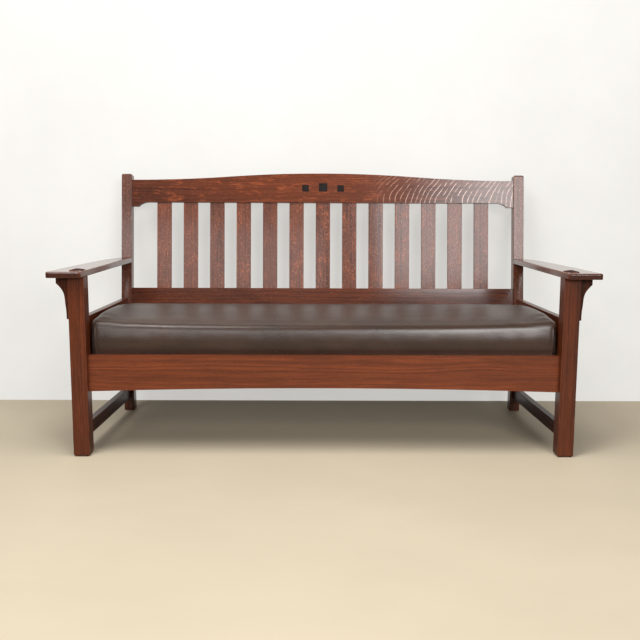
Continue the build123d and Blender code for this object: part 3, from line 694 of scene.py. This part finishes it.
class SETTLE_OT_oak_boards(bpy.types.Operator):
    """Build the stained oak boards of the frame, eased at their edges"""

    bl_idname = "settle.oak_boards"
    bl_label = "Oak boards"

    def execute(self, context):
        oak = context.scene.settle_oak
        boards = dict(BOARD_FIGURES)
        for number, (ripples, flecks, tone) in enumerate(SLAT_LOOKS, start=1):
            figure = {**SLAT_FIGURE, "ripples": ripples, "flecks": flecks, "tone": tone}
            boards[f"back_slat_{number:02d}"] = ("Z", figure)
        for seed, (node, (along, figure)) in enumerate(boards.items(), start=1):
            material = oak_material(f"Oak, {words(node)}", oak, along, centre_of(node), seed, figure)
            add_board(node, "board", oak.easing, along, material, "frame")
        return {"FINISHED"}


class SETTLE_OT_inlays(bpy.types.Operator):
    """Build the three ebonised square inlays of the crest rail"""

    bl_idname = "settle.inlays"
    bl_label = "Crest inlays"

    def execute(self, context):
        inlay = context.scene.settle_inlay
        material = inlay_material(inlay.colour)
        for side in ("left", "center", "right"):
            add_board(f"crest_inlay_{side}", "square", inlay.easing, "Z", material, "frame")
        return {"FINISHED"}


class SETTLE_OT_inner_wood(bpy.types.Operator):
    """Build the plain wooden frame of the loose seat and the cleats and bearer that carry it"""

    bl_idname = "settle.inner_wood"
    bl_label = "Inner wood"

    def execute(self, context):
        easing = context.scene.settle_oak.easing
        for seed, (node, (along, body)) in enumerate(INNER_BOARDS.items(), start=1):
            material = plain_wood_material(f"Plain wood, {node.replace('_', ' ')}", along, centre_of(node), seed)
            add_board(node, "board", easing, along, material, body)
        return {"FINISHED"}


class SETTLE_OT_screws(bpy.types.Operator):
    """Give the screws of the cleats their steel"""

    bl_idname = "settle.screws"
    bl_label = "Cleat screws"

    def execute(self, context):
        screws = NODES["cleat_screws"]
        screws.data.materials.clear()
        screws.data.materials.append(steel_material())
        return {"FINISHED"}


# Width of one yarn, points of a strap between two crossings and half its points round the section
YARN, STRAP_STEPS, STRAP_ROWS = 0.0018, 8, 9
# Powers that flatten the section of a strap, along and through its width
FLAT_WIDTH, FLAT_RISE = 0.35, 0.6


def strap_surface(start, end, across, width, thickness, first_over, crossings):
    """One woven strap as a closed band.

    Along the strap, its middle height is half a thickness times the sine of half a turn per crossing, so it goes over
    and under in turn. Across it, the section is a flat oval: half width times a power of cos v, half thickness
    times a power of sin v.
    """
    along = np.subtract(end, start)
    length = np.linalg.norm(along)
    u = np.linspace(0.0, 1.0, STRAP_STEPS * crossings + 1)
    v = np.linspace(0.0, 2 * pi, 2 * STRAP_ROWS, endpoint=False)
    wave = np.sin(pi * (u * crossings)) * np.where(first_over, 1.0, -1.0) * 0.5 * thickness
    side = np.sign(np.cos(v)) * np.abs(np.cos(v)) ** FLAT_WIDTH * width / 2
    rise = np.sign(np.sin(v)) * np.abs(np.sin(v)) ** FLAT_RISE * thickness / 2
    points = np.array(start) + u[:, None, None] * along + side[:, None] * np.array(across)
    points[:, :, 2] += wave[:, None] + rise[None, :]
    uv = np.broadcast_arrays((u * length / YARN)[:, None], ((side + width / 2) / YARN)[None, :])
    return points, np.stack(uv, axis=-1)


def band_mesh(name, surfaces):
    """Joins closed bands, grids that wrap round in v and are capped at both ends, into one mesh with UV in yarns."""
    vertices, faces, uvs, offset = [], [], [], 0
    for points, uv in surfaces:
        steps, ring = points.shape[:2]
        index = np.arange(steps * ring).reshape(steps, ring) + offset
        a, b = index[:-1], index[1:]
        quads = np.stack([a, np.roll(a, -1, 1), np.roll(b, -1, 1), b], axis=-1).reshape(-1, 4)
        faces.extend(quads.tolist())
        faces.append(index[0][::-1].tolist())
        faces.append(index[-1].tolist())
        vertices.append(points.reshape(-1, 3))
        uvs.append(uv.reshape(-1, 2))
        offset += steps * ring
    mesh = bpy.data.meshes.new(name)
    mesh.from_pydata(np.concatenate(vertices).tolist(), [], faces)
    layer = mesh.uv_layers.new(name=YARN_UV)
    corners = np.zeros(len(mesh.loops), np.int32)
    mesh.loops.foreach_get("vertex_index", corners)
    layer.data.foreach_set("uv", np.concatenate(uvs)[corners].astype(np.float32).ravel())
    mesh.polygons.foreach_set("use_smooth", np.ones(len(mesh.polygons), bool))
    with edited(mesh) as work:
        bmesh.ops.recalc_face_normals(work, faces=work.faces)
    mesh.set_sharp_from_angle(angle=radians(60))
    return mesh


# Thickness of a strap as a share of the net's: two straps cross in it
STRAP_SHARE = 0.46


class SETTLE_OT_webbing(bpy.types.Operator):
    """Weave the jute straps that are stretched over the loose seat's frame"""

    bl_idname = "settle.webbing"
    bl_label = "Seat webbing"

    def execute(self, context):
        webbing = context.scene.settle_webbing
        low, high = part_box("seat_webbing")
        middle = (low.z + high.z) / 2
        thickness = (high.z - low.z) * STRAP_SHARE
        half = webbing.width / 2
        long_rows = np.linspace(low.y + half, high.y - half, webbing.long_straps)
        cross_rows = np.linspace(low.x + half, high.x - half, webbing.cross_straps)
        surfaces = [
            strap_surface(
                (low.x, y, middle), (high.x, y, middle), (0.0, 1.0, 0.0),
                webbing.width, thickness, row % 2 == 0, webbing.cross_straps,
            )
            for row, y in enumerate(long_rows)
        ]
        surfaces += [
            strap_surface(
                (x, low.y, middle), (x, high.y, middle), (1.0, 0.0, 0.0),
                webbing.width, thickness, row % 2 == 1, webbing.long_straps,
            )
            for row, x in enumerate(cross_rows)
        ]
        mesh = band_mesh("seat_webbing_straps", surfaces)
        material = webbing_material(webbing.colour)
        link_piece("seat_webbing_straps", mesh, material, "seat", ["seat_webbing"])
        return {"FINISHED"}


def vertex_array(mesh, field):
    """The places (co) or the normals (normal) of a mesh's vertices, one row each."""
    values = np.zeros(len(mesh.vertices) * 3, np.float32)
    mesh.vertices.foreach_get(field, values)
    return values.reshape(-1, 3).astype(float)


def step_up(value, low, high):
    """Smooth step of an array from low to high: 3 t squared minus 2 t cubed."""
    t = np.clip((value - low) / (high - low), 0.0, 1.0)
    return t * t * (3.0 - 2.0 * t)


def relaxed(mesh, values, rounds):
    """Replaces each point's value, a few times over, with the mean of itself and the mean of its neighbours."""
    ends = np.empty(len(mesh.edges) * 2, dtype=np.int32)
    mesh.edges.foreach_get("vertices", ends)
    first, second = ends.reshape(-1, 2).T
    total = len(values)
    count = np.bincount(ends, minlength=total)
    for _ in range(rounds):
        around = np.bincount(first, values[second], total) + np.bincount(second, values[first], total)
        values = 0.5 * values + 0.5 * around / count
    return values


# Frames of the simulation, rounds of smoothing what it moved, and how much larger than the cushion the cover is cut
CLOTH_FRAMES, CLOTH_ROUNDS, CLOTH_EXTRA = 20, 4, 0.03
# Points up to this height over the cushion's foot, or with no part of the normal above this, hold still
HELD_FOOT, HELD_SEAM = 0.012, 0.93
# The front's bulge: its middle over the rail, the half height of its arch, and the heights where it sets in
BULGE_MIDDLE, BULGE_REACH, BULGE_FROM, BULGE_TO = 0.031, 0.060, 0.002, 0.022
# How much of the shoulder's fullness the front and back seams and the end seams get
SHOULDER_FRONT, SHOULDER_END = 0.4, 1.1


def fill_cover(piece, leather, low):
    """Blows the cover up with cloth pressure, held at its foot and seams, and limits how far it moved.

    The most it may move is the sum of a swelling up, forwards, backwards and sideways, each times the square of that
    part of the normal. The front's bulge is one minus the square of the height from the middle of what shows over the
    rail, and it is also the least that the front moves. Along its top seams the stuffing stands fuller, by the square
    of the sine of twice the angle between the two faces and not in the corners. The sum is smoothed over neighbours.
    """
    scene = bpy.context.scene
    before, normals = vertex_array(piece.data, "co"), vertex_array(piece.data, "normal")
    held = piece.vertex_groups.new(name="foot and seams")
    seams = np.abs(normals).max(axis=1) < HELD_SEAM
    held.add(np.flatnonzero(seams | (before[:, 2] < low.z + HELD_FOOT)).tolist(), 1.0, "REPLACE")
    cloth = piece.modifiers.new("Filling", "CLOTH")
    filling = cloth.settings
    filling.vertex_group_mass = held.name
    filling.use_pressure = True
    filling.uniform_pressure_force = leather.pressure
    filling.effector_weights.gravity = 0.0
    filling.shrink_min = -CLOTH_EXTRA
    filling.tension_stiffness = 12
    filling.compression_stiffness = 12
    filling.bending_stiffness = 1
    filling.quality = 5
    cloth.point_cache.frame_start, cloth.point_cache.frame_end = 1, CLOTH_FRAMES
    for number in range(1, CLOTH_FRAMES + 1):
        scene.frame_set(number)
    evaluated = piece.evaluated_get(bpy.context.evaluated_depsgraph_get())
    moved = np.einsum("ij,ij->i", vertex_array(evaluated.data, "co") - before, normals)
    piece.modifiers.remove(cloth)
    piece.vertex_groups.clear()
    scene.frame_set(1)
    height = before[:, 2]
    rail_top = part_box("front_seat_rail")[1].z
    end, face = normals[:, 0] ** 2, normals[:, 1] ** 2
    front, back = np.minimum(normals[:, 1], 0.0) ** 2, np.maximum(normals[:, 1], 0.0) ** 2
    up = np.maximum(normals[:, 2], 0.0) ** 2
    arch = np.maximum(1.0 - ((height - (rail_top + BULGE_MIDDLE)) / BULGE_REACH) ** 2, 0.0)
    bulge = leather.bulge * arch * step_up(height, rail_top + BULGE_FROM, rail_top + BULGE_TO)
    most = (
        leather.swell * up
        + (leather.front_swell + bulge) * front
        + leather.side_swell * back
        + leather.side_swell * end
    )
    fuller = leather.shoulder * 4.0 * up * (SHOULDER_FRONT * face + SHOULDER_END * end)
    fuller *= 1.0 - np.minimum(27.0 * up * end * face, 1.0)
    swollen = np.clip(moved, bulge * front, most) + fuller
    return before + normals * relaxed(piece.data, swollen, CLOTH_ROUNDS)[:, None]


# Half width of the cover's corner that folds, and the cuts that its edges get there
FOLD_REACH, FOLD_CUTS = 0.026, 4
# The fold's place in from the end, how much nearer the end it is at the top, and the width of its bell curve
FOLD_PLACE, FOLD_LEAN, FOLD_WIDTH = 0.0105, 0.006, 0.0026
# The lip beside the fold: its distance from it, the width of its bell curve and its height as a share of the depth
LIP_PLACE, LIP_WIDTH, LIP_SHARE = 0.0065, 0.003, 0.35
# Distances under the cushion's top between which the fold fades out
FOLD_FADE = (0.045, 0.018)


def pleat_corners(mesh, leather, low, high):
    """Folds the cover at its corners and writes how deep a point lies in a fold to the attribute fold.

    The fold runs up each corner, its distance from the end growing smaller with the height. Across it the cover sinks
    by a bell curve of that distance, rises in a wider bell curve beside it, and both fade out at the shoulder.
    """
    with edited(mesh) as work:
        near = [
            edge for edge in work.edges
            if all(
                abs(vert.co.x) > high.x - 2.2 * FOLD_REACH
                and min(vert.co.y - low.y, high.y - vert.co.y) < FOLD_REACH
                and vert.co.z > low.z + 0.004
                for vert in edge.verts
            )
        ]
        bmesh.ops.subdivide_edges(work, edges=near, cuts=FOLD_CUTS, smooth=1.0, use_grid_fill=True)
    points, normals = vertex_array(mesh, "co"), vertex_array(mesh, "normal")
    depth = np.zeros(len(points))
    height = np.clip((points[:, 2] - low.z) / (high.z - low.z), 0.0, 1.0)
    for side in (-1.0, 1.0):
        for edge_y, facing in ((low.y, -1.0), (high.y, 1.0)):
            face = (np.abs(points[:, 1] - edge_y) < FOLD_REACH) & (points[:, 0] * side > 0.0)
            end = np.max(points[face, 0] * side)
            gap = end - points[:, 0] * side - (FOLD_PLACE - FOLD_LEAN * height)
            groove = np.exp(-((gap / FOLD_WIDTH) ** 2)) * leather.fold
            lip = np.exp(-(((gap - LIP_PLACE) / LIP_WIDTH) ** 2)) * leather.fold * LIP_SHARE
            faded = step_up(points[:, 2], *(high.z - under for under in FOLD_FADE))
            shown = face * step_up(normals[:, 1] * facing, 0.15, 0.5) * (1.0 - faded)
            points -= normals * ((groove - lip) * shown)[:, None]
            depth = np.maximum(depth, groove / leather.fold * shown)
    mesh.vertices.foreach_set("co", points.astype(np.float32).ravel())
    # The leather darkens its colour by this fold depth as painted shade
    mesh.attributes.new("fold", "FLOAT", "POINT").data.foreach_set("value", depth.astype(np.float32))
    mesh.update()


def apply_modifier(piece, kind, **settings):
    """Adds a modifier to the active piece, sets its properties and applies it."""
    modifier = piece.modifiers.new(kind.title(), kind)
    for name, value in settings.items():
        setattr(modifier, name, value)
    bpy.ops.object.modifier_apply(modifier=modifier.name)


class SETTLE_OT_cushion(bpy.types.Operator):
    """Fill the leather cushion and fold its corners"""

    bl_idname = "settle.cushion"
    bl_label = "Leather cushion"

    def execute(self, context):
        leather = context.scene.settle_leather
        low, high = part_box("seat_cushion")
        mesh = NODES["seat_cushion"].data.copy()
        mesh.name = "seat_cushion_leather"
        with edited(mesh) as work:
            bmesh.ops.remove_doubles(work, verts=work.verts, dist=WELD)
        piece = link_piece("seat_cushion_leather", mesh, leather_material(leather), "seat", ["seat_cushion"])
        context.view_layer.objects.active = piece
        piece.select_set(True)
        apply_modifier(piece, "REMESH", mode="VOXEL", voxel_size=leather.voxel)
        apply_modifier(piece, "SMOOTH", factor=0.5, iterations=4)
        mesh = piece.data
        points = fill_cover(piece, leather, low)
        mesh.vertices.foreach_set("co", points.astype(np.float32).ravel())
        mesh.polygons.foreach_set("use_smooth", np.ones(len(mesh.polygons), bool))
        mesh.update()
        apply_modifier(piece, "SUBSURF", levels=1, render_levels=1)
        pleat_corners(piece.data, leather, low, high)
        return {"FINISHED"}


# Stage

def stage_material(name, colour, roughness, seen_light, bounce=1.0):
    """Matt stage paint, clear from behind, evenly lit for the camera and mirrors, and darker where it lights others."""
    material, nodes, shader = new_material(name, **{"Roughness": roughness, "Specular IOR Level": 0.2})
    cloud = nodes.noise(nodes.place(), (1.7, 2.3, 1.7), 4.0, 0.6)
    tint = nodes.blend(nodes.ramp(cloud, 0.3, 0.7), tinted(colour, 0.95), colour)
    glow = nodes.add("Emission", {"Color": tint})
    rays = nodes.add("LightPath").outputs
    dimmed = nodes.blend(rays["Is Camera Ray"], tinted(colour, bounce), tint)
    nodes.fill(shader, {"Base Color": dimmed})
    seen = nodes.math("ADD", rays["Is Camera Ray"], rays["Is Glossy Ray"], clamp=True)
    lit_share = nodes.times(seen, seen_light)
    lit = nodes.add("MixShader", {0: lit_share, 1: shader.outputs[0], 2: glow.outputs[0]})
    behind = nodes.add("NewGeometry").outputs["Backfacing"]
    clear = nodes.add("BsdfTransparent")
    one_sided = nodes.add("MixShader", {0: behind, 1: lit.outputs[0], 2: clear.outputs[0]})
    nodes.fill(material.node_tree.nodes["Material Output"], {"Surface": one_sided.outputs[0]})
    return material


def stage_sheet(name, corners, material):
    """One flat stage sheet, its front towards the side from which its corners run anticlockwise."""
    mesh = bpy.data.meshes.new(name)
    mesh.from_pydata(corners, [], [(0, 1, 2, 3)])
    mesh.materials.append(material)
    sheet = bpy.data.objects.new(name, mesh)
    bpy.context.scene.collection.objects.link(sheet)
    return sheet


def add_lamp(name, place, target, width, height, power):
    """A soft rectangular lamp that looks at a point."""
    data = bpy.data.lights.new(name, "AREA")
    data.shape = "RECTANGLE"
    data.size, data.size_y = width, height
    data.energy = power
    lamp = bpy.data.objects.new(name, data)
    bpy.context.scene.collection.objects.link(lamp)
    lamp.location = place
    lamp.rotation_mode = "QUATERNION"
    lamp.rotation_quaternion = (Vector(target) - Vector(place)).to_track_quat("-Z", "Y")
    return lamp


def add_camera():
    """The camera at the photograph's place: 8.19 degrees down, 0.40 towards +X and rolled 0.23."""
    place = Vector((-0.0321, -2.8900, 0.8073))
    pitch, yaw, roll = radians(8.19), radians(0.40), radians(0.23)
    ahead = Vector((sin(yaw) * cos(pitch), cos(yaw) * cos(pitch), -sin(pitch)))
    right = Vector((cos(yaw), -sin(yaw), 0.0))
    up = right.cross(ahead)
    rolled_right = cos(roll) * right + sin(roll) * up
    rolled_up = -sin(roll) * right + cos(roll) * up
    data = bpy.data.cameras.new("Camera")
    data.lens, data.sensor_width = 47.03, 36.0
    camera = bpy.data.objects.new("Camera", data)
    bpy.context.scene.collection.objects.link(camera)
    turned = Matrix((rolled_right, rolled_up, -ahead)).transposed().to_4x4()
    camera.matrix_world = Matrix.Translation(place) @ turned
    bpy.context.scene.camera = camera


# Half size of the floor and wall, height of the wall and its place behind the settle
STAGE_REACH, WALL_HEIGHT, WALL_PLACE = 9.0, 5.0, 0.425
# Each lamp's place, width, height and share of the lamp power; all look at the middle of the settle
LAMPS = {
    "Lamp left": ((-1.3, -1.9, 2.8), 1.3, 1.3, 0.56),
    "Lamp front": ((-1.0, -3.9, 1.45), 2.2, 0.65, 0.24),
    "Lamp right": ((1.3, -3.9, 1.8), 1.6, 1.15, 0.80),
    "Lamp above": ((0.1, -0.9, 3.1), 1.8, 1.2, 0.50),
}
LAMP_TARGET = (0.0, 0.0, 0.5)


class SETTLE_OT_stage(bpy.types.Operator):
    """Set the pale floor and wall, the soft lamps and the camera"""

    bl_idname = "settle.stage"
    bl_label = "Stage"

    def execute(self, context):
        scene, stage = context.scene, context.scene.settle_stage
        floor = stage_material("Pale floor", stage.floor, 0.6, 0.0, 0.5)
        wall = stage_material("Pale wall", stage.wall, 0.9, 0.6)
        left, right, far, top = -STAGE_REACH, STAGE_REACH, WALL_PLACE, WALL_HEIGHT
        stage_sheet("stage_floor", [(left, left, 0), (right, left, 0), (right, right, 0), (left, right, 0)], floor)
        back = stage_sheet("stage_wall", [(left, far, 0), (right, far, 0), (right, far, top), (left, far, top)], wall)
        back.visible_shadow = False
        back.visible_diffuse = False
        for name, (place, width, height, share) in LAMPS.items():
            lamp = add_lamp(name, place, LAMP_TARGET, width, height, share * stage.lamp_power)
            # A reflection of this lamp would draw a bright line along the front edge of the cushion
            lamp.visible_glossy = name != "Lamp above"
        world = bpy.data.worlds.new("Even light")
        world.use_nodes = True
        even = {"Color": (1.0, 1.0, 1.0, 1.0), "Strength": stage.world}
        Nodes(world.node_tree).fill(world.node_tree.nodes["Background"], even)
        scene.world = world
        scene.view_settings.view_transform = "Standard"
        add_camera()
        return {"FINISHED"}


OPERATORS = (
    SETTLE_OT_oak_boards,
    SETTLE_OT_inlays,
    SETTLE_OT_inner_wood,
    SETTLE_OT_screws,
    SETTLE_OT_webbing,
    SETTLE_OT_cushion,
    SETTLE_OT_stage,
)
SETTINGS = {
    "settle_oak": SettleOak,
    "settle_inlay": SettleInlay,
    "settle_leather": SettleLeather,
    "settle_webbing": SettleWebbing,
    "settle_stage": SettleStage,
}


class SETTLE_PT_panel(bpy.types.Panel):
    """Lists the pieces of the settle and their settings"""

    bl_idname = "SETTLE_PT_panel"
    bl_label = "Mission settle"
    bl_space_type = "VIEW_3D"
    bl_region_type = "UI"
    bl_category = "Settle"

    def draw(self, context):
        for operator in OPERATORS:
            self.layout.operator(operator.bl_idname)
        for name, settings in SETTINGS.items():
            box = self.layout.box()
            for prop in settings.__annotations__:
                box.prop(getattr(context.scene, name), prop)


def register():
    for settings in (*SETTINGS.values(), *OPERATORS, SETTLE_PT_panel):
        bpy.utils.register_class(settings)
    for name, settings in SETTINGS.items():
        setattr(bpy.types.Scene, name, PointerProperty(type=settings))


def unregister():
    for name in SETTINGS:
        delattr(bpy.types.Scene, name)
    for settings in (SETTLE_PT_panel, *reversed(OPERATORS), *SETTINGS.values()):
        bpy.utils.unregister_class(settings)


def main():
    """Builds every piece and the stage."""
    register()
    bpy.ops.settle.oak_boards()
    bpy.ops.settle.inlays()
    bpy.ops.settle.inner_wood()
    bpy.ops.settle.screws()
    bpy.ops.settle.webbing()
    bpy.ops.settle.cushion()
    bpy.ops.settle.stage()


if __name__ == "__main__":
    main()
